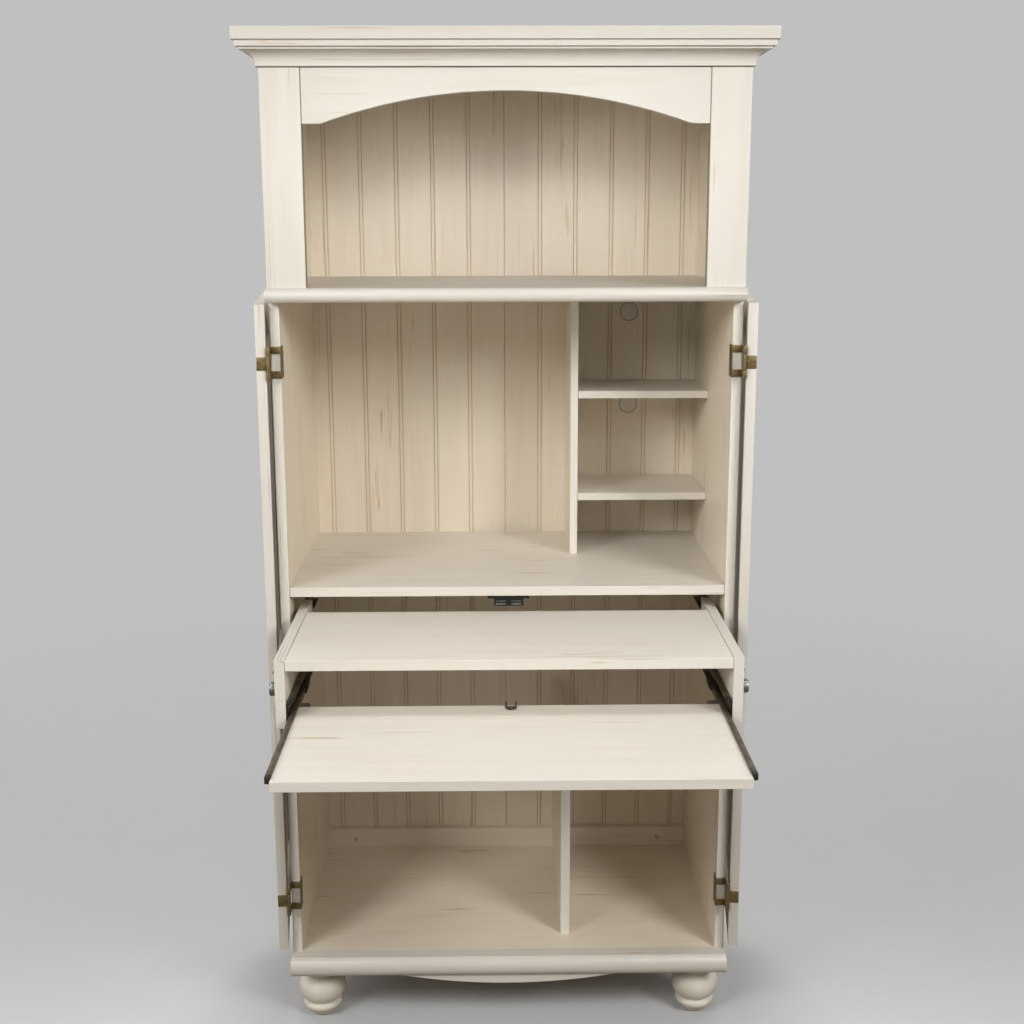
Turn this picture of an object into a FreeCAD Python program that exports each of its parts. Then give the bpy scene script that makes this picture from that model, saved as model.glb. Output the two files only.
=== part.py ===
# Computer armoire: a tall cabinet on turned feet, with a small open hutch above it,
# two doors that fold right back against its sides, a fixed desk, a pull-out shelf
# under the desk and a keyboard shelf that slides out from the pull-out.
#
# Axes: X across (right is +), Y from front to back, Z up, millimetres.
# Every function below measures Y from the front edges of the cabinet sides.
# save() then moves the whole piece so that its box is centred on X = 0, Y = 0.

import FreeCAD, Part
import math
import os

from FreeCAD import Vector

# ---------------------------------------------------------------- driving sizes
overall_width = 865.0
side_depth = 480.0
board = 18.0
thin_board = 15.0
back_thickness = 5.0
bead_pitch = 76.2

foot_height = 120.0
base_height = 40.0
main_height = 1290.0
waist_height = 26.0
hutch_height = 381.0
cove_height = 31.0
lower_slab_height = 11.0
top_slab_height = 21.0

door_thickness = 18.0
door_gap = 2.0
door_open_angle = 263.0
moulding_reach = 40.0

desk_top = 912.0
pull_out_top = 862.0
pull_out_depth = 300.0
pull_out_side_depth = 385.0
pull_out_travel = 294.0
keyboard_top = 757.0
keyboard_depth = 335.0
keyboard_travel = 268.0
slide_gap = 12.7
slide_length = 300.0

# ---------------------------------------------------------------- derived sizes
half_width = overall_width / 2
inner_half = half_width - board
base_top = foot_height + base_height
main_top = base_top + main_height
hutch_floor = main_top + waist_height
hutch_top = hutch_floor + hutch_height
lower_slab_bottom = hutch_top + cove_height
top_slab_bottom = lower_slab_bottom + lower_slab_height
rear_face = side_depth + back_thickness
face_front = -(door_gap + door_thickness)

closed_front = 4.0
pull_out_front = closed_front - pull_out_travel
pull_out_rear = pull_out_front + pull_out_depth
pull_out_outer = inner_half - slide_gap
pull_out_inner = pull_out_outer - board
panel_top = pull_out_top + 1.0
panel_bottom = panel_top - 122.0
keyboard_front = pull_out_front - 2.0 - keyboard_travel
keyboard_rear = keyboard_front + keyboard_depth
keyboard_half = pull_out_inner - slide_gap
keyboard_board = 17.0
door_middle = 700.0

desk_slide_z = 815.0
keyboard_slide_z = 767.0
hinge_inset = 107.0
door_bottom = base_top + 14.0
door_top = main_top - 3.0
hinge_heights = [door_bottom + hinge_inset, door_top - hinge_inset]

shift_y = -(rear_face + keyboard_front) / 2

pieces = {}


# ---------------------------------------------------------------- small helpers
def block(x0, x1, y0, y1, z0, z1):
    corner = Vector(min(x0, x1), min(y0, y1), min(z0, z1))
    return Part.makeBox(abs(x1 - x0), abs(y1 - y0), abs(z1 - z0), corner)


def face_of(points):
    """A flat face with straight sides through the given points."""
    return Part.Face(Part.makePolygon(points + [points[0]]))


def arc_edge(start, middle, end):
    return Part.Arc(start, middle, end).toShape()


def line_edge(start, end):
    return Part.LineSegment(start, end).toShape()


def mirrored(shape):
    """The same piece on the other side of the cabinet."""
    return shape.mirror(Vector(0, 0, 0), Vector(1, 0, 0))


def soften(shape, radius, wanted):
    """Round the edges that the test picks out."""
    edges = [edge for edge in shape.Edges if wanted(edge)]
    return shape.makeFillet(radius, edges)


def is_upright(edge):
    direction = edge.tangentAt(edge.FirstParameter)
    return abs(direction.z) > 0.99


def near(value, wanted):
    return abs(value - wanted) < 0.05


def turned(profile_edges, x, y):
    """A piece turned about an upright axis from half of its outline."""
    face = Part.Face(Part.Wire(profile_edges))
    shape = face.revolve(Vector(0, 0, 0), Vector(0, 0, 1), 360)
    shape.translate(Vector(x, y, 0))
    return shape


def both_sides(name, shape):
    pieces[name + "_left"] = shape
    pieces[name + "_right"] = mirrored(shape)


# ---------------------------------------------------------------- base and feet
def foot_outline():
    """Half outline of a bun foot: small foot, bead, ball and neck."""
    def at(radius, height):
        return Vector(radius, 0, height)
    return [
        line_edge(at(0, 0), at(22, 0)),
        arc_edge(at(22, 0), at(26.5, 5), at(28, 14)),
        line_edge(at(28, 14), at(34, 15)),
        arc_edge(at(34, 15), at(39, 23), at(35, 31)),
        line_edge(at(35, 31), at(33.5, 31.5)),
        arc_edge(at(33.5, 31.5), at(47.5, 62), at(33, 90)),
        line_edge(at(33, 90), at(34.5, 91)),
        arc_edge(at(34.5, 91), at(36.6, 93), at(37.5, 96.5)),
        line_edge(at(37.5, 96.5), at(37.5, foot_height)),
        line_edge(at(37.5, foot_height), at(0, foot_height)),
        line_edge(at(0, foot_height), at(0, 0)),
    ]


def make_feet():
    foot_x = half_width - 49.5
    for depth_name, foot_y in [("front", 48.0), ("rear", side_depth - 48.0)]:
        for side_name, x in [("left", -foot_x), ("right", foot_x)]:
            pieces["foot_%s_%s" % (depth_name, side_name)] = turned(foot_outline(), x, foot_y)


def nosed_board(x_half, y_front, y_back, z0, z1, nose):
    """A board whose front edge is a half round, flatter than a full half circle."""
    middle = (z0 + z1) / 2
    at = lambda y, z: Vector(-x_half, y, z)
    edges = [
        line_edge(at(y_back, z0), at(y_front + nose, z0)),
        arc_edge(at(y_front + nose, z0), at(y_front, middle), at(y_front + nose, z1)),
        line_edge(at(y_front + nose, z1), at(y_back, z1)),
        line_edge(at(y_back, z1), at(y_back, z0)),
    ]
    return Part.Face(Part.Wire(edges)).extrude(Vector(2 * x_half, 0, 0))


def make_base():
    pieces["base_front_moulding"] = nosed_board(
        half_width + 0.5, -moulding_reach, 0, foot_height, base_top, 12.0)
    rail = block(-half_width, -inner_half, 0, side_depth, foot_height, base_top)
    pieces["base_side_rails"] = Part.makeCompound([rail, mirrored(rail)])
    pieces["base_back_rail"] = block(
        -inner_half, inner_half, side_depth - board, side_depth, foot_height, base_top - board)
    pieces["floor_panel"] = block(
        -inner_half, inner_half, 0, side_depth, base_top - board, base_top)
    pieces["front_apron"] = curved_apron(215.0, 20.0)
    corner = block(-inner_half, -inner_half + 75, 10, 86, foot_height, base_top - board)
    rear_corner = corner.copy()
    rear_corner.translate(Vector(0, side_depth - board - 96, 0))
    blocks = [corner, rear_corner, mirrored(corner), mirrored(rear_corner)]
    pieces["foot_blocks"] = Part.makeCompound(blocks)


def curved_apron(half_chord, drop):
    """A board that shows below the moulding as one shallow sweep."""
    y = -26.0
    top = foot_height
    edges = [
        line_edge(Vector(half_chord, y, top), Vector(-half_chord, y, top)),
        line_edge(Vector(-half_chord, y, top), Vector(-half_chord, y, top - 1)),
        arc_edge(Vector(-half_chord, y, top - 1), Vector(0, y, top - drop),
                 Vector(half_chord, y, top - 1)),
        line_edge(Vector(half_chord, y, top - 1), Vector(half_chord, y, top)),
    ]
    return Part.Face(Part.Wire(edges)).extrude(Vector(0, board, 0))


# ---------------------------------------------------------------- main cabinet
def make_sides():
    side = block(-half_width, -inner_half, 0, side_depth, base_top, main_top)
    side = soften(side, 3.0, lambda e: is_upright(e) and near(e.BoundBox.YMin, 0)
                  and near(e.BoundBox.XMin, -half_width))
    both_sides("side", side)


def make_desk():
    desk = block(-inner_half, inner_half, closed_front, side_depth, desk_top - board, desk_top)
    chord = 95.0
    depth = 28.0
    radius = (chord ** 2 + depth ** 2) / (2 * depth)
    cable_gap = Part.makeCylinder(
        radius, board, Vector(0, side_depth - depth + radius, desk_top - board))
    pieces["desktop"] = desk.cut(cable_gap)


def beadboard_outline(x0, x1, y_face, y_back, centre_lines):
    """Plan of a beaded panel: each bead is a pair of small grooves."""
    points = [Vector(x0, y_back, 0), Vector(x0, y_face, 0)]
    for centre in centre_lines:
        for groove in (centre - 3.6, centre + 3.6):
            points.append(Vector(groove - 1.3, y_face, 0))
            points.append(Vector(groove, y_face + 1.8, 0))
            points.append(Vector(groove + 1.3, y_face, 0))
    points.append(Vector(x1, y_face, 0))
    points.append(Vector(x1, y_back, 0))
    return points


def beadboard(x0, x1, y_face, y_back, z0, z1, centre_lines):
    panel = face_of(beadboard_outline(x0, x1, y_face, y_back, centre_lines))
    panel.translate(Vector(0, 0, z0))
    return panel.extrude(Vector(0, 0, z1 - z0))


def knock_out_ring(x, z):
    """The scored ring of a wire outlet that can be pressed out."""
    outer = Part.makeCylinder(20.0, 2.6, Vector(x, side_depth, z), Vector(0, 1, 0))
    inner = Part.makeCylinder(18.2, 2.6, Vector(x, side_depth, z), Vector(0, 1, 0))
    return outer.cut(inner)


def make_backs():
    """Two beaded panels that meet on the middle line in a small V groove."""
    bottom = foot_height
    top = lower_slab_bottom
    reach = half_width - 2.0
    groove = face_of([Vector(-1.1, side_depth, bottom), Vector(0, side_depth + 1.6, bottom),
                      Vector(1.1, side_depth, bottom)])
    groove = groove.extrude(Vector(0, 0, top - bottom))
    lines = [bead_pitch * step for step in range(1, 6)]
    right = beadboard(0, reach, side_depth, rear_face, bottom, top, lines).cut(groove)
    lines_left = [-line for line in reversed(lines)]
    left = beadboard(-reach, 0, side_depth, rear_face, bottom, top, lines_left)
    pieces["back_panel_left"] = left.cut(groove)
    for height in (1399.0, 1198.0):
        right = right.cut(knock_out_ring(3.54 * bead_pitch, height))
    pieces["back_panel_right"] = right


def make_upper_shelving():
    divider_x = 132.5
    front = 267.0
    pieces["upper_divider"] = block(
        divider_x, divider_x + thin_board, front, side_depth, desk_top, main_top)
    x0 = divider_x + thin_board + 0.5
    x1 = inner_half - 0.5
    pins = []
    for name, top in [("upper", 1252.0), ("lower", 1040.0)]:
        pieces["small_shelf_" + name] = block(
            x0, x1, front + 3, side_depth - 1, top - thin_board, top)
        for pin_y in (front + 35, side_depth - 40):
            height = top - thin_board - 2.6
            for start_x in (divider_x + thin_board, inner_half - 8):
                pins.append(Part.makeCylinder(
                    2.5, 8, Vector(start_x, pin_y, height), Vector(1, 0, 0)))
    pieces["shelf_pins"] = Part.makeCompound(pins)


def make_lower_divider():
    cleat_height = 46.0
    pieces["rear_cleat"] = block(
        -inner_half, inner_half, side_depth - thin_board, side_depth,
        base_top, base_top + cleat_height)
    divider = block(107, 125, 60, side_depth, base_top, 562)
    notch = block(100, 130, side_depth - thin_board, side_depth + 1,
                  base_top - 1, base_top + cleat_height)
    divider = divider.cut(notch)
    pieces["lower_divider"] = soften(divider, 14.0, lambda e: near(e.BoundBox.YMin, 60)
                                     and near(e.BoundBox.ZMin, 562)
                                     and e.BoundBox.XLength > 10)


# ---------------------------------------------------------------- hutch and cornice
def make_hutch():
    pieces["waist_board"] = nosed_board(
        half_width + 1.0, -moulding_reach + 2, side_depth, main_top, hutch_floor, 13.0)
    side = block(-half_width, -inner_half, -door_gap, side_depth, hutch_floor, hutch_top)
    both_sides("hutch_side", side)
    stile_width = 72.5
    stile = block(-half_width, -half_width + stile_width, face_front, -door_gap,
                  hutch_floor, hutch_top)
    stile = soften(stile, 2.0, lambda e: is_upright(e) and near(e.BoundBox.YMin, face_front))
    both_sides("hutch_stile", stile)
    pieces["arched_rail"] = arched_rail(half_width - stile_width)
    pieces["hutch_top_panel"] = block(
        -inner_half, inner_half, -door_gap, side_depth,
        lower_slab_bottom - board, lower_slab_bottom)


def arched_rail(reach):
    """Front rail of the hutch, cut underneath to one wide arch with level ends."""
    spring = 327.0
    low = 1761.0
    crown = 1817.0
    y = face_front + 1.0
    top = hutch_top
    edges = [
        line_edge(Vector(-reach, y, top), Vector(-reach, y, low)),
        line_edge(Vector(-reach, y, low), Vector(-spring, y, low)),
        arc_edge(Vector(-spring, y, low), Vector(0, y, crown), Vector(spring, y, low)),
        line_edge(Vector(spring, y, low), Vector(reach, y, low)),
        line_edge(Vector(reach, y, low), Vector(reach, y, top)),
        line_edge(Vector(reach, y, top), Vector(-reach, y, top)),
    ]
    return Part.Face(Part.Wire(edges)).extrude(Vector(0, -door_gap - y, 0))


def cove_edges(at):
    """Outline of the hollow moulding; at(out, up) gives a point on its section."""
    out = 4.0
    radius = 23.0
    slope = radius * math.cos(math.pi / 4)
    lip = out + radius + 1.5
    return [
        line_edge(at(-board, 0), at(out, 0)),
        line_edge(at(out, 0), at(out, 4)),
        arc_edge(at(out, 4), at(out + radius - slope, 4 + slope), at(out + radius, 4 + radius)),
        line_edge(at(out + radius, 4 + radius), at(lip, 4 + radius)),
        line_edge(at(lip, 4 + radius), at(lip, cove_height)),
        line_edge(at(lip, cove_height), at(-board, cove_height)),
        line_edge(at(-board, cove_height), at(-board, 0)),
    ]


def make_cornice():
    far = half_width + 60
    front_section = cove_edges(lambda out, up: Vector(-far, face_front - out, hutch_top + up))
    front = Part.Face(Part.Wire(front_section)).extrude(Vector(2 * far, 0, 0))
    side_section = cove_edges(lambda out, up: Vector(-half_width - out, face_front - 60,
                                                     hutch_top + up))
    side = Part.Face(Part.Wire(side_section)).extrude(Vector(0, side_depth + 60 - face_front, 0))
    mitre = mitre_wedge()
    front = front.cut(mitre).cut(mirrored(mitre))
    side = side.common(mitre)
    pieces["cornice_moulding_front"] = front
    both_sides("cornice_moulding", side)
    pieces["cornice_lower_slab"] = cornice_slab(34.5, lower_slab_bottom, lower_slab_height)
    top = cornice_slab(40.0, top_slab_bottom, top_slab_height)
    pieces["cornice_top_slab"] = soften(
        top, 3.0, lambda e: is_upright(e) and e.BoundBox.YMin < face_front)


def mitre_wedge():
    """Everything on the left of the 45 degree cut through the front left corner."""
    reach = 200.0
    corner_x = -half_width
    corner_y = face_front
    low = hutch_top - 1
    points = [
        Vector(corner_x - reach, corner_y - reach, low),
        Vector(corner_x + board, corner_y + board, low),
        Vector(corner_x + board, side_depth, low),
        Vector(corner_x - reach, side_depth, low),
    ]
    return face_of(points).extrude(Vector(0, 0, cove_height + 2))


def cornice_slab(reach, bottom, height):
    return block(-half_width - reach, half_width + reach, face_front - reach, rear_face,
                 bottom, bottom + height)


# ---------------------------------------------------------------- catch and screws
def make_catch():
    plate = block(-40, 40, closed_front, 26, desk_top - board - 2.4, desk_top - board)
    body = block(-27.5, 27.5, closed_front + 1, 24, 874, desk_top - board - 2.4)
    catch = plate.fuse(body)
    for bar_x in (-14.0, 14.0):
        catch = catch.fuse(block(bar_x - 9, bar_x + 9, closed_front, 12, 878, 885))
    pieces["double_catch"] = catch.removeSplitter()


def screw_head(x, y, z, radius, rise):
    """A low round head, its flat back on the board behind it at depth y."""
    return Part.makeCylinder(radius, rise, Vector(x, y, z), Vector(0, -1, 0))


def make_screws():
    heads = []
    for centre in hinge_heights:
        for offset in (-22.5, 22.5):
            for sign in (-1, 1):
                x = sign * (half_width - 10)
                heads.append(screw_head(x, -1.7, centre + offset, 3.2, 0.25))
    for sign in (-1, 1):
        x = sign * 351.5
        heads.append(screw_head(x, side_depth - thin_board, 181, 5.0, 1.6))
    pieces["cabinet_screws"] = Part.makeCompound(heads)


# ---------------------------------------------------------------- hinges
hinge_half = 29.5
strip_inner = 15.5
pivot = Vector(-half_width - 1.0, -24.0, 0)
barrel_radius = 4.0
pin_radius = 2.0
leaf = 1.6


def barrel(z0, z1, radius):
    return Part.makeCylinder(radius, z1 - z0, Vector(pivot.x, pivot.y, z0))


def hinge_frame(centre):
    """The leaf on the cabinet: two strips, a flange on the inner face, and the pin."""
    outer = -half_width + 0.2
    inner = -inner_half + leaf
    shape = block(inner - leaf, inner, -1.7, 25, centre - hinge_half, centre + hinge_half)
    for low, high in [(-hinge_half, -strip_inner), (strip_inner, hinge_half)]:
        z0 = centre + low
        z1 = centre + high
        shape = shape.fuse(block(outer, inner, -1.7, -0.1, z0, z1))
        shape = shape.fuse(block(outer, outer + leaf, -22.5, -0.1, z0, z1))
        shape = shape.fuse(barrel(z0, z1, barrel_radius))
    pin = barrel(centre - hinge_half, centre + hinge_half, pin_radius)
    return shape.fuse(pin).removeSplitter()


def hinge_tab(centre):
    """The leaf on the edge of the closed door, with the middle knuckle."""
    outer = -half_width + 0.4
    half = strip_inner - 0.3
    knuckle = barrel(centre - half, centre + half, barrel_radius)
    plate = block(outer, outer + leaf, -23, -2.4, centre - 12, centre + 12)
    shape = plate.fuse(knuckle).removeSplitter()
    return shape.cut(barrel(centre - half - 1, centre + half + 1, pin_radius + 0.05))


def make_hinges():
    frames = [hinge_frame(centre) for centre in hinge_heights]
    frames += [mirrored(shape) for shape in frames]
    pieces["hinge_frames"] = Part.makeCompound(frames)


# ---------------------------------------------------------------- doors
def door_boards():
    """Frame and panel of the left door as it stands when closed."""
    x0 = -half_width + 2.0
    x1 = -1.5
    y0 = face_front
    y1 = -door_gap
    stile = 68.0
    frame = []
    for start, outer_edge in [(x0, x0), (x1 - stile, x1)]:
        upright = block(start, start + stile, y0, y1, door_bottom, door_top)
        frame.append(soften(upright, 2.0, lambda e: is_upright(e) and near(e.BoundBox.YMin, y0)
                            and near(e.BoundBox.XMin, outer_edge)))
    rail_bottoms = [door_bottom, door_middle - stile / 2, door_top - stile]
    for low in rail_bottoms:
        frame.append(block(x0 + stile, x1 - stile, y0, y1, low, low + stile))
    panels = []
    middle = (x0 + x1) / 2
    lines = [middle + bead_pitch * step for step in (-1, 0, 1)]
    for low, high in zip(rail_bottoms, rail_bottoms[1:]):
        panels.append(beadboard(x0 + stile, x1 - stile, y0 + 6, y1 - 4, low + stile, high, lines))
    return Part.makeCompound(frame), Part.makeCompound(panels)


def door_knob():
    """A round knob on a short neck, standing on the front of the closed door."""
    def at(radius, out):
        return Vector(radius, 0, out)
    edges = [
        line_edge(at(0, 0), at(9, 0)),
        arc_edge(at(9, 0), at(6.4, 4), at(7, 9)),
        arc_edge(at(7, 9), at(14, 15), at(11, 22)),
        arc_edge(at(11, 22), at(8, 24), at(4, 24.8)),
        line_edge(at(4, 24.8), at(0, 24.8)),
        line_edge(at(0, 24.8), at(0, 0)),
    ]
    knob = turned(edges, 0, 0)
    knob.rotate(Vector(0, 0, 0), Vector(1, 0, 0), 90)
    knob.translate(Vector(-35.5, face_front, door_middle))
    return knob


def make_doors():
    frame, panel = door_boards()
    strike = block(-24, -4, -door_gap, -door_gap + 0.8, 874, 890)
    tabs = Part.makeCompound([hinge_tab(centre) for centre in hinge_heights])
    parts = {"frame": frame, "panels": panel, "knob": door_knob(), "strike": strike,
             "hinge_tabs": tabs}
    for name, shape in parts.items():
        opened = shape.copy()
        opened.rotate(pivot, Vector(0, 0, 1), -door_open_angle)
        pieces["door_left_" + name] = opened
        pieces["door_right_" + name] = mirrored(opened)


# ---------------------------------------------------------------- slides
def channel(wall, open_to, z_middle, half, y0, y1, sheet=1.2):
    """A slide member: an upright web at x = wall with two lips towards x = open_to."""
    step = sheet if open_to > wall else -sheet
    web = block(wall, wall + step, y0, y1, z_middle - half, z_middle + half)
    for z0 in (z_middle - half, z_middle + half - sheet):
        web = web.fuse(block(wall, open_to, y0, y1, z0, z0 + sheet))
    return web.removeSplitter()


def desk_slides():
    """Three nested members on each side, drawn with the pull-out pulled out."""
    wall = -inner_half
    z = desk_slide_z
    closed_y = 44.0
    outer = channel(wall, wall + 10.5, z, 18.0, closed_y, closed_y + slide_length)
    middle_y = closed_y - pull_out_travel / 2
    middle = channel(wall + 2.2, wall + 11.0, z, 16.2, middle_y, middle_y + slide_length)
    inner_y = closed_y - pull_out_travel
    inner = channel(wall + slide_gap, wall + 4.0, z, 14.4, inner_y, inner_y + slide_length - 34)
    for name, shape in [("outer", outer), ("middle", middle), ("inner", inner)]:
        pair = Part.makeCompound([shape, mirrored(shape)])
        pieces["desk_slide_%s_members" % name] = pair


def keyboard_slides():
    """A channel on each pull-out side, and a long rail that runs back past the shelf.

    With everything pushed in, the rails stop just short of the back.
    """
    wall = -pull_out_inner
    z = keyboard_slide_z
    front = pull_out_front + 4.0
    nose_length = 14.0
    outer = channel(wall, wall + 10.5, z, 18.5, front + nose_length, pull_out_rear)
    nose = channel(wall, wall + 10.5, z, 19.0, front, front + nose_length, sheet=1.6)
    rail_front = keyboard_front + 20.0
    rail_rear = side_depth - 4.0 - pull_out_travel - keyboard_travel
    rail_top = keyboard_top + 5.0
    near_x = wall + 4.2
    far_x = wall + slide_gap
    web = block(far_x - 1.2, far_x, rail_front, rail_rear, rail_top - 12, rail_top)
    for z0 in (rail_top - 12, rail_top - 1.2):
        web = web.fuse(block(near_x, far_x, rail_front, rail_rear, z0, z0 + 1.2))
    bracket = block(far_x - 1, far_x + 19, keyboard_rear + 1, keyboard_rear + 21,
                    keyboard_top - 4, keyboard_top - 2)
    rail = web.fuse(bracket).removeSplitter()
    cap = block(near_x, far_x, rail_front - 12, rail_front, rail_top - 12, rail_top)
    cap = soften(cap, 2.5, lambda e: near(e.BoundBox.YMin, rail_front - 12)
                 and e.BoundBox.YLength < 0.1)
    stop = block(far_x, far_x + 2.4, rail_rear - 52, rail_rear,
                 rail_top - 11, rail_top + 2)
    stop = soften(stop, 1.8, lambda e: near(e.BoundBox.XMin, far_x + 2.4))
    for name, shape in [("outer_members", outer), ("noses", nose), ("rails", rail),
                        ("caps", cap), ("stops", stop)]:
        pieces["keyboard_slide_" + name] = Part.makeCompound([shape, mirrored(shape)])


# ---------------------------------------------------------------- moving shelves
def side_knob():
    """A low round knob on the outer face of a pull-out side."""
    def at(radius, out):
        return Vector(radius, 0, out)
    edges = [
        line_edge(at(0, 0), at(11.4, 0)),
        line_edge(at(11.4, 0), at(12.2, 1.2)),
        line_edge(at(12.2, 1.2), at(12.2, 8.6)),
        arc_edge(at(12.2, 8.6), at(11.2, 11), at(8.6, 11.8)),
        line_edge(at(8.6, 11.8), at(0, 11.8)),
        line_edge(at(0, 11.8), at(0, 0)),
    ]
    knob = turned(edges, 0, 0)
    knob.rotate(Vector(0, 0, 0), Vector(0, 1, 0), -90)
    knob.translate(Vector(-pull_out_outer, pull_out_front + 24, 805))
    return knob


def make_pull_out():
    pieces["pull_out_shelf"] = block(
        -pull_out_inner, pull_out_inner, pull_out_front, pull_out_rear,
        pull_out_top - board, pull_out_top)
    side_rear = pull_out_front + pull_out_side_depth
    panel = block(-pull_out_outer, -pull_out_inner, pull_out_front, side_rear,
                  panel_bottom, panel_top)
    panel = soften(panel, 1.5, lambda e: is_upright(e) and near(e.BoundBox.YMin, pull_out_front)
                   and near(e.BoundBox.XMin, -pull_out_outer))
    both_sides("pull_out_side", panel)
    knob = side_knob()
    pieces["pull_out_knobs"] = Part.makeCompound([knob, mirrored(knob)])


def make_keyboard_shelf():
    pieces["keyboard_shelf"] = block(
        -keyboard_half, keyboard_half, keyboard_front, keyboard_rear,
        keyboard_top - keyboard_board, keyboard_top)
    pieces["spring_clip"] = spring_clip(3.0)


def spring_clip(x):
    """A U of flat steel lying on the rear edge of the shelf, open to the back."""
    width = 20.0
    wall = 3.0
    rise = 4.0
    bend = width / 2
    front = keyboard_rear - 24.0
    z = keyboard_top
    outer = block(x - bend, x + bend, front + bend, keyboard_rear + 8, z, z + rise)
    outer = outer.fuse(Part.makeCylinder(bend, rise, Vector(x, front + bend, z)))
    inner = block(x - bend + wall, x + bend - wall, front + bend, keyboard_rear + 9,
                  z - 1, z + rise + 1)
    inner = inner.fuse(Part.makeCylinder(bend - wall, rise + 2, Vector(x, front + bend, z - 1)))
    plate = Part.makeCylinder(bend - 1, 1.2, Vector(x, front + bend, z))
    screw = Part.makeCone(5.0, 3.2, 3.0, Vector(x, front + bend, z + 1.2))
    return outer.cut(inner).fuse(plate).fuse(screw).removeSplitter()


# ---------------------------------------------------------------- build and save
def save():
    os.makedirs("parts", exist_ok=True)
    for name, shape in pieces.items():
        placed = shape.copy()
        placed.translate(Vector(0, shift_y, 0))
        placed.exportStep("parts/%s.step" % name)


def main():
    make_feet()
    make_base()
    make_sides()
    make_desk()
    make_backs()
    make_upper_shelving()
    make_lower_divider()
    make_hutch()
    make_cornice()
    make_catch()
    make_screws()
    make_hinges()
    make_doors()
    desk_slides()
    keyboard_slides()
    make_pull_out()
    make_keyboard_shelf()
    save()
    print(len(pieces), "pieces")
    for name, shape in pieces.items():
        if not shape.isValid() or shape.Volume < 1:
            print("check", name, shape.isValid(), shape.Volume)
    box = Part.makeCompound(list(pieces.values())).BoundBox
    print("box", box)


main()
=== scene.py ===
# %% [markdown]
# # A computer armoire, dressed for the camera
#
# The solids of the armoire come from a CAD model: boards, mouldings, doors, shelves
# and slides, all in one frame in metres. This lesson keeps every board where the CAD
# put it, gives each one a painted finish, and models the small hardware again with
# finer detail: turned feet, hinges, telescopic slides, catch, knobs and screws.
#
# The frame is loaded first, because every later cell asks it where things are.

# %% Load the frame
import bpy
import bmesh
import math
from mathutils import Matrix, Vector


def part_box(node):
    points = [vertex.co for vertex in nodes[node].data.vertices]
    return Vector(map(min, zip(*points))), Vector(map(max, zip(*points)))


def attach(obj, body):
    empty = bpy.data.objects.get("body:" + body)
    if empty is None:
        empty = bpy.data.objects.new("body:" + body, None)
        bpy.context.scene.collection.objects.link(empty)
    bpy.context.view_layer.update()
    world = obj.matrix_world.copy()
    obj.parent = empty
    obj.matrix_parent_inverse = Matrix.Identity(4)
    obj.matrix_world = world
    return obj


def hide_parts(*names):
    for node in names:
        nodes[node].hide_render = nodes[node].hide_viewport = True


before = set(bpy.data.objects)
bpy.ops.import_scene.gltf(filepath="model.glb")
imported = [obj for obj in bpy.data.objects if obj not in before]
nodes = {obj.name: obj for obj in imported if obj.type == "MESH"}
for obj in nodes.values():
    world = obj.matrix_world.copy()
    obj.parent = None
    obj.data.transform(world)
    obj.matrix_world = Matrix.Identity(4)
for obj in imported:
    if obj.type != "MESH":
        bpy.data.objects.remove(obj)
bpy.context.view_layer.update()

# %% [markdown]
# ## The camera
#
# The armoire is seen from standing eye height, a little above its middle, by a camera
# that looks down at it. The place and the three angles are written as plain numbers.
# The turns are stacked as matrices: first the roll about the lens, then the tilt, then
# the turn about the upright axis. That avoids guessing the order of Euler angles.

# %% Camera
def aim(turn, tilt, roll):
    """Rotation of a camera that looks along +Y when all three angles are zero."""
    level = Matrix.Rotation(math.radians(90 - tilt), 4, "X")
    return (Matrix.Rotation(math.radians(-turn), 4, "Z") @ level
            @ Matrix.Rotation(math.radians(roll), 4, "Z"))

camera_place = (-0.02525, -2.5212, 1.6006)
camera_angles = (0.7586, 11.97, -0.144)
camera = bpy.data.objects.new("camera", bpy.data.cameras.new("camera"))
camera.data.lens = 48.97
camera.data.sensor_width = 36.0
camera.matrix_world = Matrix.Translation(camera_place) @ aim(*camera_angles)
bpy.context.scene.collection.objects.link(camera)
bpy.context.scene.camera = camera
bpy.context.scene.view_settings.view_transform = "Standard"
print("camera", [round(v, 3) for v in camera.location], "lens", camera.data.lens)

# %% [markdown]
# ## Small helpers for node trees
#
# Every finish is a node tree. Two helpers keep the cells short: one adds a node and
# fills or links its inputs in one go, the other turns a grey value into a mask with
# soft edges. A link is made when the given value is a socket.

# %% Node helpers
def add_node(tree, kind, inputs=None, **settings):
    node = tree.nodes.new("ShaderNode" + kind)
    for key, value in settings.items():
        setattr(node, key, value)
    for key, value in (inputs or {}).items():
        if isinstance(value, bpy.types.NodeSocket):
            tree.links.new(value, node.inputs[key])
        else:
            node.inputs[key].default_value = value
    return node

def soft_mask(tree, value, low, high):
    """0 below low, 1 above high, smooth between."""
    ramp = add_node(tree, "MapRange", {"Value": value, "From Min": low, "From Max": high},
                    interpolation_type="SMOOTHSTEP")
    return ramp.outputs["Result"]

def math_node(tree, operation, first, second=0.0):
    node = add_node(tree, "Math", {0: first, 1: second}, operation=operation)
    return node.outputs[0]

def blend_colours(tree, factor, first, second):
    node = add_node(tree, "Mix", data_type="RGBA")
    for index, value in ((0, factor), (6, first), (7, second)):
        if isinstance(value, bpy.types.NodeSocket):
            tree.links.new(value, node.inputs[index])
        else:
            node.inputs[index].default_value = value
    return node.outputs[2]

def start_finish(name):
    material = bpy.data.materials.new(name)
    material.use_nodes = True
    tree = material.node_tree
    return material, tree, tree.nodes["Principled BSDF"]

def bump(tree, shader, height, distance, strength=1.0):
    node = add_node(tree, "Bump", {"Height": height, "Distance": distance,
                                   "Strength": strength})
    tree.links.new(node.outputs["Normal"], shader.inputs["Normal"])

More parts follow.
